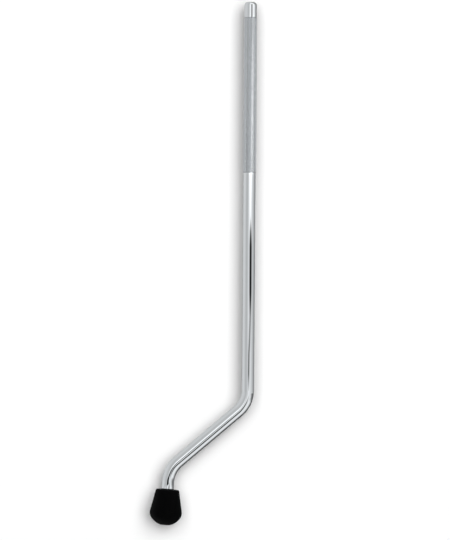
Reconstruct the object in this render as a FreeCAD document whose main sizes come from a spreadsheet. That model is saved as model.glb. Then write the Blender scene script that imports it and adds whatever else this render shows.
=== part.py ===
import FreeCAD, Part

# Floor tom leg: one bent steel bar with a knurled grip at its upper end and a
# rubber foot pushed on to its lower end.  Millimetres throughout.
#
# Row frame: the origin is on the axis of the upper shank, half way along the
# knurled grip, where the drum's bracket clamps the leg.  +Z runs up the shank.
# The bends lie in the XZ plane and carry the foot towards -X.
#
# The leg is held by its bracket and nothing in it moves, so it has no joints.

import math
import os
import Sketcher

DOC = FreeCAD.newDocument("floor_tom_leg")

# Sketcher point codes and the root point
START = 1
END = 2
CENTRE = 3
ROOT = (-1, 1)
V_AXIS = -2

# --------------------------------------------------------------------------
# Driving dimensions
# --------------------------------------------------------------------------

DIMENSIONS = [
    # the bar
    ("bar_dia", 12.7, "bar diameter, half an inch"),
    ("grip_dia", 13.5, "knurled grip over the crests of the knurl"),
    ("grip_len", 157.0, "length of the knurled grip"),
    ("run_in", 0.8, "bevel from the plain tip up to the crests"),
    ("run_out", 1.0, "bevel from the crests down to the bar"),
    ("tip_len", 15.3, "plain tip above the grip"),
    ("tip_round", 3.6, "rounding of the bar's upper end"),
    ("end_bevel", 1.0, "bevel of the bar's lower end"),
    # the bends
    ("knee_drop", 409.0, "upper end to the crossing of the shank's and the offset's axes"),
    ("offset_len", 105.05, "between the two crossings of the axes"),
    ("offset_deg", 49.5, "offset away from the shank"),
    ("toe_deg", 4.0, "toe away from the shank"),
    ("toe_len", 20.7, "lower crossing to the top of the foot"),
    ("bend_rad", 28.5, "bend radius of the bar's axis"),
    # the foot
    ("foot_height", 36.1, "foot along its own axis"),
    ("foot_top_dia", 24.0, "foot at its upper rim"),
    ("foot_belly_dia", 32.8, "foot at its widest"),
    ("foot_belly_drop", 23.8, "rim to the widest place"),
    ("foot_shoulder_rad", 9.5, "side of the dome"),
    ("foot_rim_round", 1.4, "rounding of the upper rim"),
    ("sole_dia", 10.0, "flat at the middle of the sole"),
    ("socket_depth", 24.0, "rim to the bar's lower end"),
    ("socket_bevel", 0.6, "bevel at the socket's mouth"),
    # the washer under the bar
    ("washer_dia", 16.0, "washer outside"),
    ("washer_hole", 5.5, "washer hole"),
    ("washer_thick", 1.6, "washer thickness"),
]

sheet = DOC.addObject("Spreadsheet::Sheet", "Dims")
for row, (alias, value, note) in enumerate(DIMENSIONS, start=1):
    sheet.set("A%d" % row, alias)
    sheet.set("B%d" % row, str(value))
    sheet.set("C%d" % row, note)
    sheet.setAlias("B%d" % row, alias)
DOC.recompute()

D = {alias: value for alias, value, note in DIMENSIONS}


# --------------------------------------------------------------------------
# Small helpers
# --------------------------------------------------------------------------

def vec(x, y):
    return FreeCAD.Vector(x, y, 0)


def line(a, b):
    return Part.LineSegment(a, b)


def arc(centre, radius, start_deg, end_deg):
    circle = Part.Circle(centre, FreeCAD.Vector(0, 0, 1), radius)
    return Part.ArcOfCircle(circle, math.radians(start_deg), math.radians(end_deg))


def new_body(name):
    body = DOC.addObject("PartDesign::Body", name)
    body.Label = name
    return body


def origin_plane(body, role):
    for feature in body.Origin.OriginFeatures:
        if feature.Role == role:
            return feature
    raise ValueError("no plane " + role)


def new_sketch(body, name, role):
    sketch = body.newObject("Sketcher::SketchObject", name)
    sketch.AttachmentSupport = [(origin_plane(body, role), "")]
    sketch.MapMode = "FlatFace"
    return sketch


def bind(sketch, kind, args, name, expression, guess):
    """Add one dimension to a sketch and drive it from the sheet."""
    index = sketch.addConstraint(Sketcher.Constraint(kind, *args, guess))
    sketch.renameConstraint(index, name)
    sketch.setExpression("Constraints." + name, expression)


# --------------------------------------------------------------------------
# The bar: turned and knurled shank, then the bent length
# --------------------------------------------------------------------------

rod = new_body("leg_rod")

bar_r = D["bar_dia"] / 2
grip_r = D["grip_dia"] / 2
half_grip = D["grip_len"] / 2
tip_top = half_grip + D["run_in"] + D["tip_len"]
shank_end = -half_grip - D["run_out"]

TIP_TOP = "Dims.grip_len / 2 + Dims.run_in + Dims.tip_len"
SHANK_END = "Dims.grip_len / 2 + Dims.run_out"
UPPER_TAN = "Dims.bend_rad * tan(Dims.offset_deg / 2)"
LOWER_TAN = "Dims.bend_rad * tan((Dims.offset_deg - Dims.toe_deg) / 2)"

# Half section of the shank, revolved about the vertical axis.
shank = new_sketch(rod, "ShankSection", "XZ_Plane")
corner = vec(bar_r - D["tip_round"], tip_top - D["tip_round"])
points = [
    vec(0, shank_end),
    vec(0, tip_top),
    vec(corner.x, tip_top),
    vec(bar_r, corner.y),
    vec(bar_r, half_grip + D["run_in"]),
    vec(grip_r, half_grip),
    vec(grip_r, -half_grip),
    vec(bar_r, shank_end),
]
g_axis = shank.addGeometry(line(points[0], points[1]), False)
g_top = shank.addGeometry(line(points[1], points[2]), False)
g_round = shank.addGeometry(arc(corner, D["tip_round"], 0, 90), False)
g_tip = shank.addGeometry(line(points[3], points[4]), False)
g_in = shank.addGeometry(line(points[4], points[5]), False)
g_grip = shank.addGeometry(line(points[5], points[6]), False)
g_out = shank.addGeometry(line(points[6], points[7]), False)
g_base = shank.addGeometry(line(points[7], points[0]), False)

shank.addConstraint([
    Sketcher.Constraint("PointOnObject", g_axis, START, V_AXIS),
    Sketcher.Constraint("Coincident", g_axis, END, g_top, START),
    Sketcher.Constraint("Tangent", g_top, END, g_round, END),
    Sketcher.Constraint("Tangent", g_round, START, g_tip, START),
    Sketcher.Constraint("Coincident", g_tip, END, g_in, START),
    Sketcher.Constraint("Coincident", g_in, END, g_grip, START),
    Sketcher.Constraint("Coincident", g_grip, END, g_out, START),
    Sketcher.Constraint("Coincident", g_out, END, g_base, START),
    Sketcher.Constraint("Coincident", g_base, END, g_axis, START),
    Sketcher.Constraint("Vertical", g_axis),
    Sketcher.Constraint("Horizontal", g_top),
    Sketcher.Constraint("Vertical", g_tip),
    Sketcher.Constraint("Vertical", g_grip),
    Sketcher.Constraint("Horizontal", g_base),
])
bind(shank, "Radius", (g_round,), "tip_round", "Dims.tip_round", D["tip_round"])
bind(shank, "DistanceX", (*ROOT, g_tip, END), "bar_radius", "Dims.bar_dia / 2", bar_r)
bind(shank, "DistanceX", (*ROOT, g_out, END), "bar_radius_low", "Dims.bar_dia / 2", bar_r)
bind(shank, "DistanceX", (*ROOT, g_grip, START), "grip_radius", "Dims.grip_dia / 2", grip_r)
bind(shank, "DistanceY", (*ROOT, g_grip, START), "grip_top", "Dims.grip_len / 2", half_grip)
bind(shank, "DistanceY", (g_grip, END, *ROOT), "grip_foot", "Dims.grip_len / 2", half_grip)
bind(shank, "DistanceY", (g_in, END, g_in, START), "run_in", "Dims.run_in", D["run_in"])
bind(shank, "DistanceY", (g_out, END, g_out, START), "run_out", "Dims.run_out", D["run_out"])
bind(shank, "DistanceY", (*ROOT, g_top, START), "tip_top", TIP_TOP, tip_top)

turned = rod.newObject("PartDesign::Revolution", "TurnedShank")
turned.Profile = shank
turned.ReferenceAxis = (shank, ["V_Axis"])
turned.Angle = 360
rod.Tip = turned
DOC.recompute()

# Axis of the bent length, from the bevel under the grip to the bar's end.
upper_tan = D["bend_rad"] * math.tan(math.radians(D["offset_deg"] / 2))
lower_tan = D["bend_rad"] * math.tan(math.radians((D["offset_deg"] - D["toe_deg"]) / 2))
offset_run = (-math.sin(math.radians(D["offset_deg"])), -math.cos(math.radians(D["offset_deg"])))
toe_run = (-math.sin(math.radians(D["toe_deg"])), -math.cos(math.radians(D["toe_deg"])))


def along(point, run, distance):
    return vec(point.x + run[0] * distance, point.y + run[1] * distance)


knee = vec(0, tip_top - D["knee_drop"])
ankle = along(knee, offset_run, D["offset_len"])
knee_in = vec(0, knee.y + upper_tan)
knee_out = along(knee, offset_run, upper_tan)
ankle_in = along(ankle, offset_run, -lower_tan)
ankle_out = along(ankle, toe_run, lower_tan)
bar_end = along(ankle, toe_run, D["toe_len"] + D["socket_depth"])
knee_centre = vec(-D["bend_rad"], knee_in.y)
ankle_normal = (toe_run[1], -toe_run[0])
ankle_centre = vec(
    ankle_out.x - ankle_normal[0] * D["bend_rad"],
    ankle_out.y - ankle_normal[1] * D["bend_rad"],
)

path = new_sketch(rod, "BarAxis", "XZ_Plane")
p_shank = path.addGeometry(line(vec(0, shank_end), knee_in), False)
p_knee = path.addGeometry(arc(knee_centre, D["bend_rad"], -D["offset_deg"], 0), False)
p_offset = path.addGeometry(line(knee_out, ankle_in), False)
p_ankle = path.addGeometry(
    arc(ankle_centre, D["bend_rad"], 180 - D["offset_deg"], 180 - D["toe_deg"]), False)
p_toe = path.addGeometry(line(ankle_out, bar_end), False)
path.addConstraint([
    Sketcher.Constraint("PointOnObject", p_shank, START, V_AXIS),
    Sketcher.Constraint("Vertical", p_shank),
    Sketcher.Constraint("Tangent", p_shank, END, p_knee, END),
    Sketcher.Constraint("Tangent", p_knee, START, p_offset, START),
    Sketcher.Constraint("Tangent", p_offset, END, p_ankle, START),
    Sketcher.Constraint("Tangent", p_ankle, END, p_toe, START),
    Sketcher.Constraint("Equal", p_knee, p_ankle),
])
bind(path, "Radius", (p_knee,), "bend_rad", "Dims.bend_rad", D["bend_rad"])
bind(path, "DistanceY", (p_shank, START, *ROOT), "start_drop", SHANK_END, -shank_end)
bind(path, "DistanceY", (p_shank, END, *ROOT), "knee_in_drop",
     "Dims.knee_drop - (%s) - %s" % (TIP_TOP, UPPER_TAN), -knee_in.y)
bind(path, "Distance", (p_offset,), "offset_straight",
     "Dims.offset_len - %s - %s" % (UPPER_TAN, LOWER_TAN),
     D["offset_len"] - upper_tan - lower_tan)
bind(path, "Distance", (p_toe,), "toe_straight",
     "Dims.toe_len + Dims.socket_depth - " + LOWER_TAN,
     D["toe_len"] + D["socket_depth"] - lower_tan)
bind(path, "Angle", (p_offset,), "offset_slope", "-90 - Dims.offset_deg",
     math.radians(-90 - D["offset_deg"]))
bind(path, "Angle", (p_toe,), "toe_slope", "-90 - Dims.toe_deg",
     math.radians(-90 - D["toe_deg"]))

# Round section of the bar at the start of that axis.
section = new_sketch(rod, "BarSection", "XY_Plane")
circle = Part.Circle(vec(0, 0), FreeCAD.Vector(0, 0, 1), bar_r)
c_bar = section.addGeometry(circle, False)
section.addConstraint(Sketcher.Constraint("Coincident", c_bar, CENTRE, *ROOT))
bind(section, "Diameter", (c_bar,), "bar_dia", "Dims.bar_dia", D["bar_dia"])
section.AttachmentOffset = FreeCAD.Placement(vec(0, 0), FreeCAD.Rotation())
section.setExpression("AttachmentOffset.Base.z", "-(%s)" % SHANK_END)
DOC.recompute()

bent = rod.newObject("PartDesign::AdditivePipe", "BentBar")
bent.Profile = section
bent.Spine = (path, [""])
bent.Mode = "Standard"
bent.Transition = "Transformed"
rod.Tip = bent
DOC.recompute()


def lowest_edge(shape):
    """Name of the circular edge that has the lowest centre."""
    best = None
    for number, edge in enumerate(shape.Edges, start=1):
        height = edge.BoundBox.Center.z
        if edge.Closed and (best is None or height < best[0]):
            best = (height, "Edge%d" % number)
    return best[1]


bevel = rod.newObject("PartDesign::Chamfer", "EndBevel")
bevel.Base = (bent, [lowest_edge(bent.Shape)])
bevel.Size = D["end_bevel"]
bevel.setExpression("Size", "Dims.end_bevel")
rod.Tip = bevel
rod.Placement = FreeCAD.Placement(vec(0, 0), FreeCAD.Rotation())
DOC.recompute()

# --------------------------------------------------------------------------
# Where the foot sits: the middle of its upper rim, +Z back up the bar's toe
# --------------------------------------------------------------------------

RIM_X = "-(Dims.offset_len * sin(Dims.offset_deg) + Dims.toe_len * sin(Dims.toe_deg))"
RIM_Z = (TIP_TOP + " - Dims.knee_drop - Dims.offset_len * cos(Dims.offset_deg)"
         " - Dims.toe_len * cos(Dims.toe_deg)")


def seat_on_toe(body):
    """Place a body made about its own Z axis on the toe of the bar."""
    rim = along(ankle, toe_run, D["toe_len"])
    tilt = FreeCAD.Rotation(FreeCAD.Vector(0, 1, 0), D["toe_deg"])
    body.Placement = FreeCAD.Placement(FreeCAD.Vector(rim.x, 0, rim.y), tilt)
    body.setExpression(".Placement.Base.x", RIM_X)
    body.setExpression(".Placement.Base.z", RIM_Z)
    body.setExpression(".Placement.Rotation.Angle", "Dims.toe_deg")


# --------------------------------------------------------------------------
# The foot: moulded rubber, a blind socket with a pocket for the washer
# --------------------------------------------------------------------------

foot = new_body("rubber_foot")

top_r = D["foot_top_dia"] / 2
belly_r = D["foot_belly_dia"] / 2
rim_r = D["foot_rim_round"]
shoulder_r = D["foot_shoulder_rad"]
sole_r = D["sole_dia"] / 2
belly_z = -D["foot_belly_drop"]
sole_z = -D["foot_height"]
pocket_r = D["washer_dia"] / 2
pocket_z = -D["socket_depth"] - D["washer_thick"]

# The sole's arc is centred on the axis, meets the flat and is tangent to the
# side of the dome; the numbers here only start the sketch near its solution.
dome_in = belly_r - shoulder_r
rise = belly_z - sole_z
slope = rise / shoulder_r
offset = (shoulder_r ** 2 + sole_r ** 2 - dome_in ** 2 - rise ** 2) / (2 * shoulder_r)
quad_a = slope ** 2 - 1
quad_b = 2 * slope * offset
quad_c = offset ** 2 - sole_r ** 2
lift = (-quad_b + math.sqrt(quad_b ** 2 - 4 * quad_a * quad_c)) / (2 * quad_a)
sole_arc_r = math.hypot(lift, sole_r)
sole_arc_z = sole_z + lift

side_deg = math.degrees(math.atan2(belly_r - top_r, D["foot_belly_drop"]))
join_deg = math.degrees(math.atan2(belly_z - sole_arc_z, dome_in))
dome_c = vec(dome_in, belly_z)
sole_c = vec(0, sole_arc_z)


def on_circle(centre, radius, deg):
    turn = math.radians(deg)
    return vec(centre.x + radius * math.cos(turn), centre.y + radius * math.sin(turn))


profile = new_sketch(foot, "FootSection", "XZ_Plane")
rim_c = vec(top_r - rim_r, -rim_r)
bore_r = bar_r
mouth_r = bore_r + D["socket_bevel"]
shoulder_top = on_circle(dome_c, shoulder_r, side_deg)
sole_edge = vec(sole_r, sole_z)

f_rim = profile.addGeometry(line(vec(mouth_r, 0), vec(rim_c.x, 0)), False)
f_round = profile.addGeometry(arc(rim_c, rim_r, side_deg, 90), False)
f_side = profile.addGeometry(line(on_circle(rim_c, rim_r, side_deg), shoulder_top), False)
f_dome = profile.addGeometry(arc(dome_c, shoulder_r, join_deg, side_deg), False)
sole_deg = math.degrees(math.atan2(sole_z - sole_arc_z, sole_r))
f_sole = profile.addGeometry(arc(sole_c, sole_arc_r, sole_deg, join_deg), False)
f_flat = profile.addGeometry(line(sole_edge, vec(0, sole_z)), False)
f_core = profile.addGeometry(line(vec(0, sole_z), vec(0, pocket_z)), False)
f_seat = profile.addGeometry(line(vec(0, pocket_z), vec(pocket_r, pocket_z)), False)
f_pocket = profile.addGeometry(
    line(vec(pocket_r, pocket_z), vec(pocket_r, -D["socket_depth"])), False)
f_ledge = profile.addGeometry(
    line(vec(pocket_r, -D["socket_depth"]), vec(bore_r, -D["socket_depth"])), False)
f_bore = profile.addGeometry(
    line(vec(bore_r, -D["socket_depth"]), vec(bore_r, -D["socket_bevel"])), False)
f_mouth = profile.addGeometry(
    line(vec(bore_r, -D["socket_bevel"]), vec(mouth_r, 0)), False)

profile.addConstraint([
    Sketcher.Constraint("Horizontal", f_rim),
    Sketcher.Constraint("Tangent", f_rim, END, f_round, END),
    Sketcher.Constraint("Tangent", f_round, START, f_side, START),
    Sketcher.Constraint("Tangent", f_side, END, f_dome, END),
    Sketcher.Constraint("Tangent", f_dome, START, f_sole, END),
    Sketcher.Constraint("Coincident", f_sole, START, f_flat, START),
    Sketcher.Constraint("Horizontal", f_flat),
    Sketcher.Constraint("Coincident", f_flat, END, f_core, START),
    Sketcher.Constraint("PointOnObject", f_core, START, V_AXIS),
    Sketcher.Constraint("Vertical", f_core),
    Sketcher.Constraint("Coincident", f_core, END, f_seat, START),
    Sketcher.Constraint("Horizontal", f_seat),
    Sketcher.Constraint("Coincident", f_seat, END, f_pocket, START),
    Sketcher.Constraint("Vertical", f_pocket),
    Sketcher.Constraint("Coincident", f_pocket, END, f_ledge, START),
    Sketcher.Constraint("Horizontal", f_ledge),
    Sketcher.Constraint("Coincident", f_ledge, END, f_bore, START),
    Sketcher.Constraint("Vertical", f_bore),
    Sketcher.Constraint("Coincident", f_bore, END, f_mouth, START),
    Sketcher.Constraint("Coincident", f_mouth, END, f_rim, START),
    Sketcher.Constraint("PointOnObject", f_rim, START, -1),
    Sketcher.Constraint("PointOnObject", f_sole, CENTRE, V_AXIS),
])
bind(profile, "Radius", (f_round,), "rim_round", "Dims.foot_rim_round", rim_r)
bind(profile, "Radius", (f_dome,), "shoulder_rad", "Dims.foot_shoulder_rad", shoulder_r)
bind(profile, "DistanceX", (*ROOT, f_round, CENTRE), "rim_in",
     "Dims.foot_top_dia / 2 - Dims.foot_rim_round", top_r - rim_r)
bind(profile, "DistanceX", (*ROOT, f_dome, CENTRE), "dome_in",
     "Dims.foot_belly_dia / 2 - Dims.foot_shoulder_rad", dome_in)
bind(profile, "DistanceY", (f_dome, CENTRE, *ROOT), "belly_drop",
     "Dims.foot_belly_drop", -belly_z)
bind(profile, "DistanceY", (f_flat, END, *ROOT), "foot_height", "Dims.foot_height", -sole_z)
bind(profile, "DistanceX", (*ROOT, f_flat, START), "sole_rad", "Dims.sole_dia / 2", sole_r)
bind(profile, "DistanceX", (*ROOT, f_bore, START), "bore_rad", "Dims.bar_dia / 2", bore_r)
bind(profile, "DistanceX", (*ROOT, f_mouth, END), "mouth_rad",
     "Dims.bar_dia / 2 + Dims.socket_bevel", mouth_r)
bind(profile, "DistanceY", (f_bore, END, *ROOT), "mouth_drop", "Dims.socket_bevel",
     D["socket_bevel"])
bind(profile, "DistanceY", (f_bore, START, *ROOT), "socket_depth", "Dims.socket_depth",
     D["socket_depth"])
bind(profile, "DistanceX", (*ROOT, f_pocket, START), "pocket_rad", "Dims.washer_dia / 2",
     pocket_r)
bind(profile, "Distance", (f_pocket,), "pocket_height", "Dims.washer_thick",
     D["washer_thick"])

moulded = foot.newObject("PartDesign::Revolution", "MouldedFoot")
moulded.Profile = profile
moulded.ReferenceAxis = (profile, ["V_Axis"])
moulded.Angle = 360
foot.Tip = moulded
seat_on_toe(foot)
DOC.recompute()

# --------------------------------------------------------------------------
# The washer: flat steel, it keeps the bar from cutting through the sole
# --------------------------------------------------------------------------

washer = new_body("foot_washer")
ring = new_sketch(washer, "WasherRing", "XY_Plane")
ring.AttachmentOffset = FreeCAD.Placement(vec(0, 0), FreeCAD.Rotation())
ring.setExpression("AttachmentOffset.Base.z", "-Dims.socket_depth - Dims.washer_thick")
normal = FreeCAD.Vector(0, 0, 1)
w_out = ring.addGeometry(Part.Circle(vec(0, 0), normal, D["washer_dia"] / 2), False)
w_in = ring.addGeometry(Part.Circle(vec(0, 0), normal, D["washer_hole"] / 2), False)
ring.addConstraint([
    Sketcher.Constraint("Coincident", w_out, CENTRE, *ROOT),
    Sketcher.Constraint("Coincident", w_in, CENTRE, *ROOT),
])
bind(ring, "Diameter", (w_out,), "washer_dia", "Dims.washer_dia", D["washer_dia"])
bind(ring, "Diameter", (w_in,), "washer_hole", "Dims.washer_hole", D["washer_hole"])
DOC.recompute()

plate = washer.newObject("PartDesign::Pad", "WasherPlate")
plate.Profile = ring
plate.Length = D["washer_thick"]
plate.setExpression("Length", "Dims.washer_thick")
washer.Tip = plate
seat_on_toe(washer)
DOC.recompute()

# --------------------------------------------------------------------------
# Check and export
# --------------------------------------------------------------------------

for item in DOC.Objects:
    if "Invalid" in item.State or "Error" in item.State:
        raise RuntimeError("%s: %s" % (item.Label, item.State))

NODES = [rod, foot, washer]
os.makedirs("parts", exist_ok=True)
for node in NODES:
    shape = node.Shape
    if shape.isNull() or not shape.isValid() or len(shape.Solids) != 1:
        raise RuntimeError(node.Label + " is not one valid solid")
    shape.exportStep("parts/%s.step" % node.Label)
    box = shape.BoundBox
    print("%-12s volume %9.1f  x %8.2f %8.2f  y %7.2f %7.2f  z %8.2f %8.2f" % (
        node.Label, shape.Volume, box.XMin, box.XMax, box.YMin, box.YMax, box.ZMin, box.ZMax))
for sketch in DOC.findObjects("Sketcher::SketchObject"):
    print(sketch.Label, "degrees of freedom", sketch.solve(), sketch.FullyConstrained)
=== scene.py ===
import math

import bpy
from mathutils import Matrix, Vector


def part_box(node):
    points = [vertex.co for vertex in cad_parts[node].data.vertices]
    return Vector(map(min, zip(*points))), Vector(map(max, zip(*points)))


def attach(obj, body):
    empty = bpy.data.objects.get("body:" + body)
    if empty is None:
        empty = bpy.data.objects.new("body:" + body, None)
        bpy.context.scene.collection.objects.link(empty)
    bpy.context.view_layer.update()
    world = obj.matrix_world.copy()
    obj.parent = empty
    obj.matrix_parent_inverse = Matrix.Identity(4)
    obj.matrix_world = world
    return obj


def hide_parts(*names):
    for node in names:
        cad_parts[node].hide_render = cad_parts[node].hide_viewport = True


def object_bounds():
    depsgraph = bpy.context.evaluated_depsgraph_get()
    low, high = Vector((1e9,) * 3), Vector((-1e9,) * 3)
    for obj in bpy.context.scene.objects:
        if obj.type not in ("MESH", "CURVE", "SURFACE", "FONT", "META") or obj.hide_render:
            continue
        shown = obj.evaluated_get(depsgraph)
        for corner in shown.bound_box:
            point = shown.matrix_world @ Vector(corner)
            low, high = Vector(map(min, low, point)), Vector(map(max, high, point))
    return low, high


# A floor tom leg: a bent chrome bar with a knurled grip, and a black rubber foot.
# Metres, in the CAD model's own frame: the origin is half way along the grip on
# the shank's axis, +Z runs up the shank, and the bends lie in the XZ plane.

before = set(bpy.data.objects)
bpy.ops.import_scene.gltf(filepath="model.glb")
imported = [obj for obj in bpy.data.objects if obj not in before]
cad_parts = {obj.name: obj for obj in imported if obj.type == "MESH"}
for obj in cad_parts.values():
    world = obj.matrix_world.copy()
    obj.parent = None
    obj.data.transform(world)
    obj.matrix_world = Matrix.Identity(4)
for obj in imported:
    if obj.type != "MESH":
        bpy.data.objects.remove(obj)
CAD_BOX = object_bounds()
ROD_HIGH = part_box("leg_rod")[1]
FOOT_LOW, FOOT_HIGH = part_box("rubber_foot")

MM = 0.001

# The bar
BAR_R = 6.35 * MM
CREST_R = ROD_HIGH.y                  # radius of the knurl's crests
TIP_TOP = ROD_HIGH.z
TIP_ROUND = 3.6 * MM
GRIP_HALF = 78.5 * MM                 # the grip reaches this far above and below the origin
RUN_IN = 0.8 * MM                     # bevel between the plain tip and the crests
RUN_OUT = 1.0 * MM                    # bevel from the crests down to the bare bar
END_BEVEL = 1.0 * MM

# The bends; lengths run along the axis between its corners
KNEE_DROP = 409.0 * MM                # from the tip's top
OFFSET_LEN = 105.05 * MM
OFFSET_TURN = math.radians(49.5)
TOE_TURN = math.radians(4.0)
TOE_LEN = 20.7 * MM                   # from the lower corner to the foot's rim
BEND_R = 28.5 * MM                    # to the axis

# The knurl: diamonds in rows, each row shifted by half a diamond
KNURL_COUNT = 48                      # diamonds around the bar
KNURL_ANGLE = math.radians(30)        # from the bar's axis to a groove
KNURL_PITCH = 2 * math.pi * CREST_R / KNURL_COUNT
KNURL_ROW = KNURL_PITCH / math.tan(KNURL_ANGLE) / 2
KNURL_DEPTH = 0.17 * MM
KNURL_FLAT = 0.50                     # the crest's share of a diamond

# How finely the bar is divided
RING_COUNT = KNURL_COUNT * 2
BEND_STEPS = 30
ROUND_STEPS = 10
STRAIGHT_STEP = 6 * MM
END_GAP = 0.4 * MM                    # from the grip's last row to the bare bar's first ring
TIP_PARTS = (0.33, 0.67, 1.0)         # places of the rings between the round and the grip

# The foot
FOOT_H = 36.1 * MM
RIM_R = 12.0 * MM
BELLY_R = 16.4 * MM
BELLY_DROP = 23.8 * MM
SHOULDER_R = 9.5 * MM
RIM_ROUND = 1.4 * MM
SOLE_R = 5.0 * MM                     # the flat in the middle of the sole
SOCKET_DEPTH = 24.0 * MM
SOCKET_BEVEL = 0.6 * MM
WASHER_R = 8.0 * MM
WASHER_T = 1.6 * MM


# ---------------------------------------------------------------------------
# Small helpers
# ---------------------------------------------------------------------------

def smooth(value):
    """0 to 1 with flat ends."""
    value = min(max(value, 0.0), 1.0)
    return value * value * (3 - 2 * value)


def ease(value, low, high):
    """0 up to low, 1 from high on, and smooth between them."""
    return smooth((value - low) / (high - low))


class Skin:
    """A mesh built ring by ring, from the top down, with two values kept per point.

    Relief is 1 on open faces and 0 down in the knurl's grooves, where the chrome is painted
    darker as shade; grip is 1 on the knurl.
    """

    def __init__(self):
        self.points = []
        self.faces = []
        self.flat = []
        self.relief = []
        self.grip = []

    def point(self, place, relief=1.0, grip=0.0):
        self.points.append(place)
        self.relief.append(relief)
        self.grip.append(grip)
        return len(self.points) - 1

    def face(self, corners, flat=False):
        self.faces.append(corners)
        self.flat.append(flat)

    def join(self, upper, lower):
        """Quads between two rings with the same number of points."""
        count = len(upper)
        for j in range(count):
            k = (j + 1) % count
            self.face((upper[j], lower[j], lower[k], upper[k]))

    def close(self, ring, centre, up):
        """A fan from a ring to its middle."""
        middle = self.point(centre)
        count = len(ring)
        for j in range(count):
            k = (j + 1) % count
            corners = (middle, ring[j], ring[k]) if up else (middle, ring[k], ring[j])
            self.face(corners)

    def widen(self, few, many, many_above):
        """Triangles between a ring of N points and one of a whole multiple of N."""
        count = len(few)
        share = len(many) // count
        for j in range(count):
            k = (j + 1) % count
            for step in range(share):
                a = many[j * share + step]
                b = many[(j * share + step + 1) % len(many)]
                tip = few[j] if step < share / 2 else few[k]
                self.face((a, tip, b) if many_above else (tip, a, b), flat=True)
            middle = many[(j * share + (share + 1) // 2) % len(many)]
            corners = (few[j], few[k], middle) if many_above else (few[j], middle, few[k])
            self.face(corners, flat=True)

    def build(self, name):
        mesh = bpy.data.meshes.new(name)
        mesh.from_pydata(self.points, [], self.faces)
        mesh.polygons.foreach_set("use_smooth", [not flat for flat in self.flat])
        for label, values in (("relief", self.relief), ("grip", self.grip)):
            layer = mesh.attributes.new(label, "FLOAT", "POINT")
            layer.data.foreach_set("value", values)
        mesh.update()
        piece = bpy.data.objects.new(name, mesh)
        bpy.context.scene.collection.objects.link(piece)
        return piece


# ---------------------------------------------------------------------------
# The bar's axis
# ---------------------------------------------------------------------------

def run_of(turn):
    """Direction of the bar, downwards, once it has turned by that much."""
    return Vector((-math.sin(turn), 0, -math.cos(turn)))


def side_of(turn):
    """Across the bar in the plane of the bends."""
    return Vector((math.cos(turn), 0, -math.sin(turn)))


ACROSS = Vector((0, 1, 0))
# The corners of the axis, and where it meets the foot's rim
KNEE = Vector((0, 0, TIP_TOP - KNEE_DROP))
ANKLE = KNEE + run_of(OFFSET_TURN) * OFFSET_LEN
RIM = ANKLE + run_of(TOE_TURN) * TOE_LEN


def circle_ring(skin, centre, turn, radius):
    """One ring of the bar, square to its axis."""
    ring = []
    for j in range(RING_COUNT):
        angle = 2 * math.pi * j / RING_COUNT
        out = side_of(turn) * math.cos(angle) + ACROSS * math.sin(angle)
        ring.append(skin.point(centre + radius * out))
    return ring


def bend_stations(corner, turn_in, turn_out):
    """Places and turns along the bend at one corner of the axis."""
    reach = BEND_R * math.tan(abs(turn_out - turn_in) / 2)
    start = corner - run_of(turn_in) * reach
    inward = 1 if turn_out > turn_in else -1
    centre = start - side_of(turn_in) * BEND_R * inward
    stations = []
    for step in range(BEND_STEPS + 1):
        turn = turn_in + (turn_out - turn_in) * step / BEND_STEPS
        stations.append((centre + side_of(turn) * BEND_R * inward, turn))
    return stations


def bar_stations():
    """Places and turns along the bare bar, from under the grip to its lower end."""
    start = Vector((0, 0, -GRIP_HALF - RUN_OUT - END_GAP))
    end = RIM + run_of(TOE_TURN) * (SOCKET_DEPTH - END_BEVEL)
    bends = bend_stations(KNEE, 0.0, OFFSET_TURN)
    bends += bend_stations(ANKLE, OFFSET_TURN, TOE_TURN)
    stations = [(start, 0.0)]
    for place, turn in bends + [(end, TOE_TURN)]:
        last, last_turn = stations[-1]
        gap = (place - last).length
        parts = max(1, round(gap / STRAIGHT_STEP)) if turn == last_turn else 1
        for part in range(1, parts + 1):
            stations.append((last.lerp(place, part / parts), turn))
    return stations


# ---------------------------------------------------------------------------
# The bar
# ---------------------------------------------------------------------------

def knurl_level(height):
    """Radii of the crests and of the grooves at one height."""
    fade = ease(height, -GRIP_HALF - RUN_OUT, -GRIP_HALF)
    crest = BAR_R + (CREST_R - BAR_R) * fade
    groove = crest - KNURL_DEPTH * fade
    return crest, groove


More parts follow.
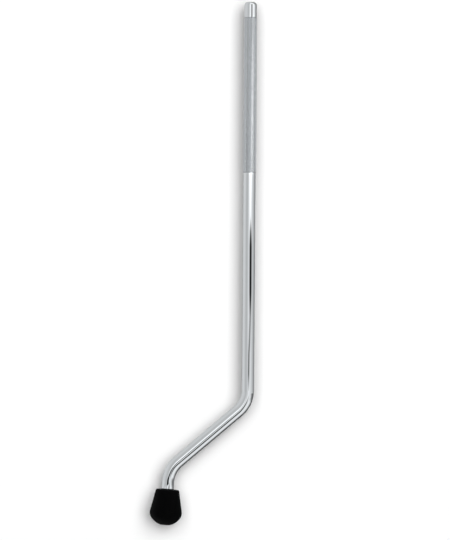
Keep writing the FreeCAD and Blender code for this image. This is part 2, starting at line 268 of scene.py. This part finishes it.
def knurl(skin):
    """Rows of diamonds from the top of the grip to the end of its fade; returns the end rings."""
    top = GRIP_HALF
    bottom = -GRIP_HALF - RUN_OUT
    rows = 2 * round((top - bottom) / KNURL_ROW / 2)
    step = (top - bottom) / rows

    def place(radius, column, height):
        angle = 2 * math.pi * column / KNURL_COUNT
        return Vector((radius * math.cos(angle), radius * math.sin(angle), height))

    # the grooves' crossings
    base = []
    for row in range(rows + 1):
        height = top - row * step
        groove = knurl_level(height)[1]
        shift = 0.5 * (row % 2)
        base.append([
            skin.point(place(groove, j + shift, height), relief=0.0, grip=1.0)
            for j in range(KNURL_COUNT)
        ])

    # a diamond between each four of them, with a raised flat and four flanks
    half = 0.5 * KNURL_FLAT
    reach = step * KNURL_FLAT
    for row in range(rows + 1):
        height = top - row * step
        crest = knurl_level(height)[0]
        shift = 0.5 * (row % 2)
        for j in range(KNURL_COUNT):
            middle = j + shift + 0.5
            beside = int(middle) % KNURL_COUNT
            left = base[row][j]
            right = base[row][(j + 1) % KNURL_COUNT]
            if row == 0:
                skin.face((left, base[1][beside], right), flat=True)
                continue
            if row == rows:
                skin.face((left, right, base[row - 1][beside]), flat=True)
                continue
            down = base[row + 1][beside]
            up = base[row - 1][beside]
            tops = tuple(
                skin.point(place(crest, column, level), relief=1.0, grip=1.0)
                for column, level in (
                    (middle - half, height), (middle, height - reach),
                    (middle + half, height), (middle, height + reach))
            )
            skin.face(tops, flat=True)
            corners = (left, down, right, up)
            for side in range(4):
                after = (side + 1) % 4
                skin.face((corners[side], corners[after], tops[after], tops[side]), flat=True)
    return base[0], base[rows]


def make_rod():
    """The whole bar as one skin."""
    skin = Skin()
    # the domed tip and the plain length under it
    rings = []
    for step in range(ROUND_STEPS + 1):
        angle = math.pi / 2 * (1 - step / ROUND_STEPS)
        radius = BAR_R - TIP_ROUND + TIP_ROUND * math.cos(angle)
        height = TIP_TOP - TIP_ROUND + TIP_ROUND * math.sin(angle)
        rings.append(circle_ring(skin, Vector((0, 0, height)), 0.0, radius))
    skin.close(rings[0], Vector((0, 0, TIP_TOP)), up=True)
    plain = TIP_TOP - TIP_ROUND
    grip_top = GRIP_HALF + RUN_IN
    for part in TIP_PARTS:
        height = plain + (grip_top - plain) * part
        rings.append(circle_ring(skin, Vector((0, 0, height)), 0.0, BAR_R))
    for upper, lower in zip(rings, rings[1:]):
        skin.join(upper, lower)

    # the knurled grip
    first, last = knurl(skin)
    skin.widen(first, rings[-1], many_above=True)

    # the bare bar, bent twice, down to the bevel at its end
    rings = [circle_ring(skin, centre, turn, BAR_R) for centre, turn in bar_stations()]
    skin.widen(last, rings[0], many_above=False)
    for upper, lower in zip(rings, rings[1:]):
        skin.join(upper, lower)
    end = RIM + run_of(TOE_TURN) * SOCKET_DEPTH
    bevel = circle_ring(skin, end, TOE_TURN, BAR_R - END_BEVEL)
    skin.join(rings[-1], bevel)
    skin.close(bevel, end, up=False)
    return skin.build("chromed_bar")


# ---------------------------------------------------------------------------
# The foot
# ---------------------------------------------------------------------------

FOOT_COUNT = 144                      # points around
ARC_STEP = math.radians(5)
SIDE_STEPS = 14                       # down the straight side
RIM_RINGS = (8.0 * MM, 9.3 * MM)      # radii of two rings across the rim's flat top


def arc_points(centre, radius, start, end):
    """Points of an arc in the foot's half section, both ends included."""
    steps = max(2, round(abs(end - start) / ARC_STEP))
    return [
        (centre[0] + radius * math.cos(start + (end - start) * step / steps),
         centre[1] + radius * math.sin(start + (end - start) * step / steps))
        for step in range(steps + 1)
    ]


def line_points(start, end, steps):
    """Points of a straight stretch of it, both ends included."""
    return [
        (start[0] + (end[0] - start[0]) * step / steps,
         start[1] + (end[1] - start[1]) * step / steps)
        for step in range(steps + 1)
    ]


def foot_section():
    """The half section from the socket's mouth, over the rim and down to the sole's middle."""
    dome_in = BELLY_R - SHOULDER_R
    rise = FOOT_H - BELLY_DROP
    # the sole's arc ends at the flat and runs smoothly into the dome's round; lift is
    # the height of its centre over the sole, from a quadratic
    slope = rise / SHOULDER_R
    offset = (SHOULDER_R ** 2 + SOLE_R ** 2 - dome_in ** 2 - rise ** 2) / (2 * SHOULDER_R)
    a = slope ** 2 - 1
    b = 2 * slope * offset
    c = offset ** 2 - SOLE_R ** 2
    lift = (-b + math.sqrt(b * b - 4 * a * c)) / (2 * a)
    sole_c = (0.0, -FOOT_H + lift)
    sole_arc_r = math.hypot(lift, SOLE_R)
    rim_c = (RIM_R - RIM_ROUND, -RIM_ROUND)
    dome_c = (dome_in, -BELLY_DROP)
    # the side is the outer tangent of the rim's and the dome's rounds
    span = math.hypot(dome_c[0] - rim_c[0], dome_c[1] - rim_c[1])
    lean = math.atan2(dome_c[1] - rim_c[1], dome_c[0] - rim_c[0])
    side = lean + math.pi / 2 + math.asin((SHOULDER_R - RIM_ROUND) / span)
    join = math.atan2(dome_c[1] - sole_c[1], dome_c[0] - sole_c[0])
    sole_edge = math.atan2(-FOOT_H - sole_c[1], SOLE_R)
    points = [(radius, 0.0) for radius in (BAR_R + SOCKET_BEVEL, *RIM_RINGS)]
    points += arc_points(rim_c, RIM_ROUND, math.pi / 2, side)
    dome = arc_points(dome_c, SHOULDER_R, side, join)
    points += line_points(points[-1], dome[0], SIDE_STEPS)[1:-1]
    points += dome
    points += arc_points(sole_c, sole_arc_r, join, sole_edge)[1:]
    points += [(SOLE_R * 0.5, -FOOT_H)]
    return points


def make_foot():
    """The foot turned about the toe's axis, with its socket and the washer's seat."""
    skin = Skin()
    floor = -SOCKET_DEPTH
    seat = floor - WASHER_T
    inside = [(BAR_R, -SOCKET_BEVEL), (BAR_R, floor), (WASHER_R, floor), (WASHER_R, seat)]

    def place(radius, height, angle=0.0):
        aside = side_of(TOE_TURN) * (radius * math.cos(angle))
        back = ACROSS * (radius * math.sin(angle))
        return RIM + aside + back - run_of(TOE_TURN) * height

    def ring(radius, height):
        made = []
        for j in range(FOOT_COUNT):
            angle = 2 * math.pi * j / FOOT_COUNT
            made.append(skin.point(place(radius, height, angle)))
        return made

    outer = [ring(radius, height) for radius, height in foot_section()]
    for upper, lower in zip(outer, outer[1:]):
        skin.join(upper, lower)
    skin.close(outer[-1], place(0, -FOOT_H), up=False)
    bore = [outer[0]] + [ring(radius, height) for radius, height in inside]
    for upper, lower in zip(bore, bore[1:]):
        skin.join(lower, upper)
    skin.close(bore[-1], place(0, seat), up=True)
    return skin.build("moulded_foot")


# ---------------------------------------------------------------------------
# Materials
# ---------------------------------------------------------------------------

class Nodes:
    """Short names for adding and linking shader nodes."""

    def __init__(self, name):
        self.material = bpy.data.materials.new(name)
        self.material.use_nodes = True
        self.tree = self.material.node_tree
        self.shader = self.tree.nodes["Principled BSDF"]
        self.surface = self.tree.nodes["Material Output"].inputs["Surface"]

    def add(self, kind, **settings):
        node = self.tree.nodes.new(kind)
        for key, value in settings.items():
            setattr(node, key, value)
        return node

    def link(self, source, target):
        self.tree.links.new(source, target)

    def fix(self, **values):
        """Fixed values on the shader, by socket name with its spaces as underscores."""
        for label, value in values.items():
            self.shader.inputs[label.replace("_", " ")].default_value = value

    def noise(self, scale, detail=4.0, roughness=0.5, stretch=(1, 1, 1)):
        """Noise in the object's own coordinates; scale is in cells per metre."""
        mapping = self.add("ShaderNodeMapping")
        mapping.inputs["Scale"].default_value = stretch
        self.link(self.add("ShaderNodeTexCoord").outputs["Object"], mapping.inputs["Vector"])
        node = self.add("ShaderNodeTexNoise")
        node.inputs["Scale"].default_value = scale
        node.inputs["Detail"].default_value = detail
        node.inputs["Roughness"].default_value = roughness
        self.link(mapping.outputs["Vector"], node.inputs["Vector"])
        return node.outputs["Fac"]

    def spread(self, source, low, high, to_low, to_high):
        """The source's range, low to high, carried over to another range."""
        node = self.add("ShaderNodeMapRange")
        for key, value in (("From Min", low), ("From Max", high),
                           ("To Min", to_low), ("To Max", to_high)):
            node.inputs[key].default_value = value
        self.link(source, node.inputs["Value"])
        return node.outputs["Result"]

    def value(self, label):
        """A value kept per point of the mesh."""
        return self.add("ShaderNodeAttribute", attribute_name=label).outputs["Fac"]

    def maths(self, operation, first, second):
        """One operation on two sockets or numbers."""
        node = self.add("ShaderNodeMath", operation=operation)
        for socket, given in zip(node.inputs, (first, second)):
            if isinstance(given, (int, float)):
                socket.default_value = given
            else:
                self.link(given, socket)
        return node.outputs["Value"]

    def blend(self, factor, first, second):
        """A mix of two sockets or colours."""
        node = self.add("ShaderNodeMix", data_type="RGBA")
        sockets = [s for s in node.inputs if s.enabled]
        for socket, given in zip(sockets, (factor, first, second)):
            if isinstance(given, (int, float)):
                socket.default_value = given
            elif isinstance(given, tuple):
                socket.default_value = (*given, 1.0)
            else:
                self.link(given, socket)
        return next(s for s in node.outputs if s.enabled)

    def bump(self, height, distance, strength=1.0):
        node = self.add("ShaderNodeBump")
        node.inputs["Distance"].default_value = distance
        node.inputs["Strength"].default_value = strength
        self.link(height, node.inputs["Height"])
        self.link(node.outputs["Normal"], self.shader.inputs["Normal"])


PLATE = (0.83, 0.85, 0.865), (0.88, 0.895, 0.905)    # the plate's darker and lighter patches
# Painted shade: the colour down in the knurl's grooves, darker than the crests where shade falls
# between the diamonds.
GROOVE_PAINTED_SHADE = (0.42, 0.435, 0.45)
CREST = (0.75, 0.77, 0.785)
PLATE_ROUGH = 0.012, 0.035
KNURL_ROUGH = 0.17, 0.27
RUBBER = (0.0018, 0.0018, 0.002), (0.006, 0.006, 0.0063)    # clean, and with dust on it
RUBBER_ROUGH = 0.62, 0.78
ZINC = (0.52, 0.53, 0.55), (0.68, 0.69, 0.70)        # the spangle's darker and lighter grains
ZINC_ROUGH = 0.28, 0.42


def chrome():
    """Bright chrome plate; duller on the knurl, with shade painted in darker down in its grooves.
    """
    n = Nodes("chrome_plate")
    n.fix(Metallic=1.0)
    grip = n.value("grip")
    relief = n.value("relief")
    haze = n.noise(90, detail=6, roughness=0.6)
    bright = n.blend(haze, *PLATE)
    # Painted shade: the grooves take a darker colour than the crests, by the relief value.
    crest_and_painted_groove_shade = n.blend(relief, GROOVE_PAINTED_SHADE, CREST)
    n.link(n.blend(grip, bright, crest_and_painted_groove_shade), n.shader.inputs["Base Color"])
    wiped = n.spread(n.noise(35, detail=5, roughness=0.65), 0.35, 0.7, *PLATE_ROUGH)
    matt = n.spread(n.noise(700, detail=3), 0.3, 0.7, *KNURL_ROUGH)
    difference = n.maths("SUBTRACT", matt, wiped)
    rough = n.maths("ADD", wiped, n.maths("MULTIPLY", difference, grip))
    n.link(rough, n.shader.inputs["Roughness"])
    # faint marks along the shank, as the bar was drawn
    drawn = n.noise(140, detail=3, roughness=0.5, stretch=(1, 1, 0.06))
    n.bump(drawn, 0.004 * MM, 0.3)
    return n.material


def rubber():
    """Black moulded rubber: matt, faintly grained, with a trace of dust."""
    n = Nodes("moulded_rubber")
    grain = n.noise(2600, detail=3, roughness=0.6)
    cloud = n.noise(120, detail=5, roughness=0.6)
    dust = n.spread(cloud, 0.45, 0.8, 0.0, 0.5)
    n.link(n.blend(dust, *RUBBER), n.shader.inputs["Base Color"])
    n.link(n.spread(cloud, 0.3, 0.7, *RUBBER_ROUGH), n.shader.inputs["Roughness"])
    n.fix(Specular_IOR_Level=0.05)
    n.bump(grain, 0.05 * MM, 0.5)
    return n.material


def zinc():
    """Zinc-plated steel with a fine spangle."""
    n = Nodes("zinc_plate")
    n.fix(Metallic=1.0)
    spangle = n.noise(420, detail=4)
    n.link(n.blend(spangle, *ZINC), n.shader.inputs["Base Color"])
    n.link(n.spread(spangle, 0.3, 0.7, *ZINC_ROUGH), n.shader.inputs["Roughness"])
    n.bump(n.noise(1500), 0.02 * MM, 0.4)
    return n.material


# ---------------------------------------------------------------------------
# The object
# ---------------------------------------------------------------------------

rod = make_rod()
rod.data.materials.append(chrome())
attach(rod, "root")
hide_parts("leg_rod")

foot = make_foot()
foot.data.materials.append(rubber())
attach(foot, "root")
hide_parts("rubber_foot")

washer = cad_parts["foot_washer"]
washer.data.materials.clear()
washer.data.materials.append(zinc())

# ---------------------------------------------------------------------------
# Camera: level, square on to the plane of the bends, from far away
# ---------------------------------------------------------------------------

LOW, HIGH = Vector(CAD_BOX[0]), Vector(CAD_BOX[1])
CENTRE = (LOW + HIGH) / 2
HEIGHT = HIGH.z - LOW.z

VIEW_HEIGHT = HEIGHT * 1.031          # what the picture's height takes in
SHIFT_RIGHT = 22.0 * MM               # from the leg's middle to the picture's
SHIFT_DOWN = 6.5 * MM
ROLL = math.radians(-0.40)
DISTANCE = 4.5
SENSOR = 36.0
FAR_LIMIT = 50

camera_data = bpy.data.cameras.new("camera")
camera_data.sensor_width = SENSOR
camera_data.lens = SENSOR * DISTANCE / VIEW_HEIGHT
camera_data.clip_end = FAR_LIMIT
camera = bpy.data.objects.new("camera", camera_data)
bpy.context.scene.collection.objects.link(camera)
aim = CENTRE + Vector((SHIFT_RIGHT, 0, -SHIFT_DOWN))
camera.location = aim - Vector((0, DISTANCE, 0))
camera.rotation_euler = (math.pi / 2, ROLL, 0)
bpy.context.scene.camera = camera

# ---------------------------------------------------------------------------
# Studio: white paper under and behind the leg, and a soft tent of light round it.
# Azimuths are in degrees from the camera's side of the leg, positive to its right.
# ---------------------------------------------------------------------------

bpy.context.scene.view_settings.view_transform = "Standard"

X = Vector((1, 0, 0))
Y = Vector((0, 1, 0))
Z = Vector((0, 0, 1))


def stage_piece(name, points, faces, material):
    """A mesh that belongs to the stage and not to the object."""
    mesh = bpy.data.meshes.new(name)
    mesh.from_pydata(points, [], faces)
    mesh.materials.append(material)
    piece = bpy.data.objects.new(name, mesh)
    bpy.context.scene.collection.objects.link(piece)
    return piece


def sheet_of_paper(name, centre, right, up, width, height, material):
    """A flat rectangle that casts no shadow and that the leg doesn't reflect."""
    corners = [
        centre + right * (width / 2 * i) + up * (height / 2 * k)
        for i, k in ((-1, -1), (1, -1), (1, 1), (-1, 1))
    ]
    piece = stage_piece(name, corners, [(0, 1, 2, 3)], material)
    piece.visible_glossy = False
    piece.visible_diffuse = False
    piece.visible_shadow = False
    return piece


PAPER_GREY = 0.85
PAPER_ROUGH = 0.9


def paper(name, glow):
    """White paper with a glow of its own, and clear from behind so that it hides nothing."""
    n = Nodes(name)
    n.fix(Base_Color=(PAPER_GREY, PAPER_GREY, PAPER_GREY, 1), Roughness=PAPER_ROUGH,
          Specular_IOR_Level=0.0, Emission_Color=(1, 1, 1, 1), Emission_Strength=glow)
    clear = n.add("ShaderNodeBsdfTransparent")
    mix = n.add("ShaderNodeMixShader")
    n.link(n.add("ShaderNodeNewGeometry").outputs["Backfacing"], mix.inputs["Fac"])
    n.link(n.shader.outputs["BSDF"], mix.inputs[1])
    n.link(clear.outputs["BSDF"], mix.inputs[2])
    n.link(mix.outputs["Shader"], n.surface)
    return n.material


# The foot stands just in front of an upright card and just over the floor.
CARD_GAP = 1.0 * MM
FLOOR_DROP = 20.0 * MM
CARD_WIDTH = 3.0
CARD_TALL = 2.0
FLOOR_SIZE = 8.0
FLOOR_GLOW = 0.85

floor_level = FOOT_LOW.z - FLOOR_DROP
card_middle = Vector((CENTRE.x, FOOT_HIGH.y + CARD_GAP, floor_level + CARD_TALL / 2))
floor_middle = Vector((CENTRE.x, 0, floor_level))
papers = [
    sheet_of_paper("card", card_middle, X, Z, CARD_WIDTH, CARD_TALL,
                   paper("card_paper", glow=0.0)),
    sheet_of_paper("floor", floor_middle, X, Y, FLOOR_SIZE, FLOOR_SIZE,
                   paper("floor_paper", glow=FLOOR_GLOW)),
]


def tent_material(name, glow):
    """Light, or with no glow a dark screen, as strong as the ribbon's cover at each point."""
    n = Nodes(name)
    n.tree.nodes.remove(n.shader)
    clear = n.add("ShaderNodeBsdfTransparent")
    lit = n.add("ShaderNodeEmission")
    cover = n.value("cover")
    if glow:
        n.link(n.maths("MULTIPLY", cover, glow), lit.inputs["Strength"])
        both = n.add("ShaderNodeAddShader")
        first, second = both.inputs[0], both.inputs[1]
    else:
        lit.inputs["Strength"].default_value = 0.0
        both = n.add("ShaderNodeMixShader")
        n.link(cover, both.inputs["Fac"])
        first, second = both.inputs[1], both.inputs[2]
    n.link(clear.outputs["BSDF"], first)
    n.link(lit.outputs["Emission"], second)
    n.link(both.outputs[0], n.surface)
    return n.material


RIBBON_COLUMNS = 12


def ribbon(name, distance, stations, glow=0):
    """An upright soft-edged ribbon curved round the leg, seen only in reflections.

    Each station is a height, the azimuth of the ribbon's middle, its half width in
    degrees and how much it covers there.
    """
    points = []
    covers = []
    faces = []
    for height, azimuth, half, cover in stations:
        for column in range(RIBBON_COLUMNS + 1):
            across = 2 * column / RIBBON_COLUMNS - 1
            turn = math.radians(azimuth + across * half)
            points.append(Vector((distance * math.sin(turn), -distance * math.cos(turn), height)))
            covers.append(cover * smooth(1 - abs(across)))
    wide = RIBBON_COLUMNS + 1
    for row in range(len(stations) - 1):
        for column in range(RIBBON_COLUMNS):
            corner = row * wide + column
            faces.append((corner, corner + 1, corner + wide + 1, corner + wide))
    piece = stage_piece(name, points, faces, tent_material(name, glow))
    layer = piece.data.attributes.new("cover", "FLOAT", "POINT")
    layer.data.foreach_set("value", covers)
    piece.visible_camera = False
    piece.visible_diffuse = False
    piece.visible_shadow = False


# A tall strip light to the camera's right, brightest level with the grip.
ribbon("strip_light", 0.90, [
    (-0.142, 22, 42, 0.0),
    (-0.105, 22, 42, 0.7),
    (-0.085, 22, 42, 1.0),
    (-0.055, 24, 42, 1.3),
    (-0.030, 41, 32, 7.6),
    (0.020, 41, 32, 7.0),
    (0.100, 41, 32, 5.4),
    (0.125, 36, 40, 0.4),
    (0.700, 36, 60, 0.35),
], glow=0.42)
# A dark seam in it, from the tip's height up.
ribbon("strip_seam", 0.88, [
    (0.085, 22, 34, 0.0),
    (0.110, 22, 34, 0.7),
    (0.700, 22, 34, 0.7),
])
# The dark stand under it, which shows as the dark line down the bare shank.
ribbon("dark_stand", 0.85, [
    (-0.114, 29, 10, 0.0),
    (-0.132, 29, 26, 0.9),
    (-0.150, 31, 36, 1.3),
    (-0.205, 32, 36, 1.3),
    (-0.235, 31, 26, 0.75),
    (-0.262, 22, 26, 0.75),
    (-0.280, 12, 24, 0.9),
    (-0.305, 10, 24, 0.9),
    (-0.330, 8, 18, 0.0),
])
# The stand's foot, which shows on the toe.
ribbon("dark_foot", 0.85, [
    (-0.390, -10, 16, 0.0),
    (-0.405, -10, 20, 3.0),
    (-0.500, -10, 20, 3.0),
    (-0.520, -10, 16, 0.0),
])
# A grey screen low on the right.
ribbon("dark_screen", 0.86, [
    (-0.400, 92, 30, 0.0),
    (-0.425, 92, 46, 0.75),
    (-0.570, 92, 46, 0.65),
    (-0.680, 92, 30, 0.0),
])


LIGHT_DISTANCE = 6.0
LIGHT_RISE = 1.30                     # above the leg's middle
LIGHT_TALL = 6.4
# Name, azimuth, width and power
LIGHTS = (
    ("right_light", 22.5, 3.8, 368),
    ("left_light", -16.0, 3.0, 213),
)


def paper_light(name, azimuth, wide, power, receivers):
    """A soft light on the paper alone; the leg stands in its way and casts a shadow."""
    data = bpy.data.lights.new(name, "AREA")
    data.shape = "RECTANGLE"
    data.size = wide
    data.size_y = LIGHT_TALL
    data.energy = power
    lamp = bpy.data.objects.new(name, data)
    bpy.context.scene.collection.objects.link(lamp)
    turn = math.radians(azimuth)
    away = (X * math.sin(turn) - Y * math.cos(turn)) * LIGHT_DISTANCE
    middle = Vector((CENTRE.x, 0, CENTRE.z))
    lamp.location = middle + away + Z * LIGHT_RISE
    look = middle - lamp.location
    lamp.rotation_euler = look.to_track_quat("-Z", "Y").to_euler()
    lamp.visible_camera = False
    lamp.visible_glossy = False
    lamp.light_linking.receiver_collection = receivers


lit_papers = bpy.data.collections.new("papers")
for sheet in papers:
    lit_papers.objects.link(sheet)
for light in LIGHTS:
    paper_light(*light, lit_papers)

WHITE = 1.03                          # the world as the camera sees it
FILL = 0.02                           # what it adds to matt surfaces
PEAK = 2.0                            # the brightest that a ring can be
CAST = (0.985, 1.0, 1.012)            # a slight blue in the tent
# Brightness of the tent by azimuth: below the leg, level with it, above it and high above
RING_BELOW = [
    (-180, 0.70), (-163, 0.90), (-152, 0.15), (-142, 0.25), (-130, 1.05), (-112, 0.80),
    (-96, 0.55), (-80, 0.20), (-66, 0.75), (-40, 0.90), (-20, 0.50), (0, 1.0), (7, 1.1),
    (12, 1.0), (14.5, 0.0), (20, 0.0), (28, 0.0), (32, 0.85), (40, 0.80), (50, 0.80),
    (62, 0.95), (80, 0.80), (99, 0.50), (120, 0.18), (141, 0.05), (165, 0.15), (180, 0.70),
]
RING_LEVEL = [
    (-180, 0.70), (-160, 0.25), (-138, 0.61), (-103, 0.70), (-75, 0.66), (-50, 0.51),
    (-28, 0.55), (-6, 0.74), (12, 0.88), (34, 0.82), (53, 0.71), (73, 0.60), (96, 0.44),
    (120, 0.30), (145, 0.36), (165, 0.60), (180, 0.70),
]
RING_ABOVE = [
    (-180, 0.60), (-133, 0.62), (-90, 0.66), (-56, 0.60), (-34, 0.52), (-18, 0.70),
    (-5, 1.35), (10, 1.0), (50, 1.0), (68, 1.0), (75, 0.90), (100, 0.40), (135, 0.30),
    (180, 0.60),
]
RING_HIGH = [
    (-180, 0.55), (-133, 0.60), (-90, 0.66), (-56, 0.58), (-34, 0.52), (-18, 0.70),
    (-5, 1.0), (25, 1.0), (58, 1.0), (72, 1.0), (78, 0.70), (100, 0.30), (135, 0.25),
    (180, 0.55),
]

# Where each ring takes over, as the rise of a direction
BELOW_BAND = 0.06, 0.25               # as its fall
ABOVE_BAND = 0.01, 0.07
HIGH_BAND = 0.25, 0.50


def light_tent():
    """The world: white to the camera, dim to matt surfaces and the tent to the rest."""
    world = bpy.data.worlds.new("tent")
    bpy.context.scene.world = world
    world.use_nodes = True
    tree = world.node_tree
    tree.nodes.clear()

    def add(kind, **settings):
        node = tree.nodes.new(kind)
        for key, value in settings.items():
            setattr(node, key, value)
        return node

    def maths(operation, *given):
        node = add("ShaderNodeMath", operation=operation)
        for socket, value in zip(node.inputs, given):
            if isinstance(value, (int, float)):
                socket.default_value = value
            else:
                tree.links.new(value, socket)
        return node.outputs["Value"]

    def band(value, low, high):
        node = add("ShaderNodeMapRange", interpolation_type="SMOOTHSTEP")
        node.inputs["From Min"].default_value = low
        node.inputs["From Max"].default_value = high
        tree.links.new(value, node.inputs["Value"])
        return node.outputs["Result"]

    split = add("ShaderNodeSeparateXYZ")
    tree.links.new(add("ShaderNodeTexCoord").outputs["Generated"], split.inputs["Vector"])
    east, north, rise = split.outputs
    azimuth = maths("ARCTAN2", east, maths("MULTIPLY", north, -1.0))
    share = maths("ADD", maths("DIVIDE", azimuth, 2 * math.pi), 0.5)

    def ring(stops):
        node = add("ShaderNodeValToRGB")
        ramp = node.color_ramp
        ramp.interpolation = "CARDINAL"
        while len(ramp.elements) < len(stops):
            ramp.elements.new(0.5)
        for element, (degrees, _) in zip(ramp.elements, stops):
            element.position = (degrees + 180) / 360
        for element, (_, value) in zip(ramp.elements, stops):
            element.color = (*(value * tone / PEAK for tone in CAST), 1)
        tree.links.new(share, node.inputs["Fac"])
        return node.outputs["Color"]

    def mix(factor, first, second):
        node = add("ShaderNodeMix", data_type="RGBA")
        sockets = [socket for socket in node.inputs if socket.enabled]
        for socket, value in zip(sockets, (factor, first, second)):
            tree.links.new(value, socket)
        return next(socket for socket in node.outputs if socket.enabled)

    fall = maths("MULTIPLY", rise, -1.0)
    colour = mix(band(fall, *BELOW_BAND), ring(RING_LEVEL), ring(RING_BELOW))
    colour = mix(band(rise, *ABOVE_BAND), colour, ring(RING_ABOVE))
    colour = mix(band(rise, *HIGH_BAND), colour, ring(RING_HIGH))
    lit = add("ShaderNodeBackground")
    lit.inputs["Strength"].default_value = PEAK
    tree.links.new(colour, lit.inputs["Color"])
    white = add("ShaderNodeBackground")
    white.inputs["Color"].default_value = (1, 1, 1, 1)
    white.inputs["Strength"].default_value = WHITE
    dim = add("ShaderNodeBackground")
    dim.inputs["Color"].default_value = (FILL, FILL, FILL, 1)
    path = add("ShaderNodeLightPath")
    soft = add("ShaderNodeMixShader")
    tree.links.new(path.outputs["Diffuse Depth"], soft.inputs["Fac"])
    tree.links.new(lit.outputs["Background"], soft.inputs[1])
    tree.links.new(dim.outputs["Background"], soft.inputs[2])
    chosen = add("ShaderNodeMixShader")
    tree.links.new(path.outputs["Is Camera Ray"], chosen.inputs["Fac"])
    tree.links.new(soft.outputs["Shader"], chosen.inputs[1])
    tree.links.new(white.outputs["Background"], chosen.inputs[2])
    out = add("ShaderNodeOutputWorld")
    tree.links.new(chosen.outputs["Shader"], out.inputs["Surface"])


light_tent()
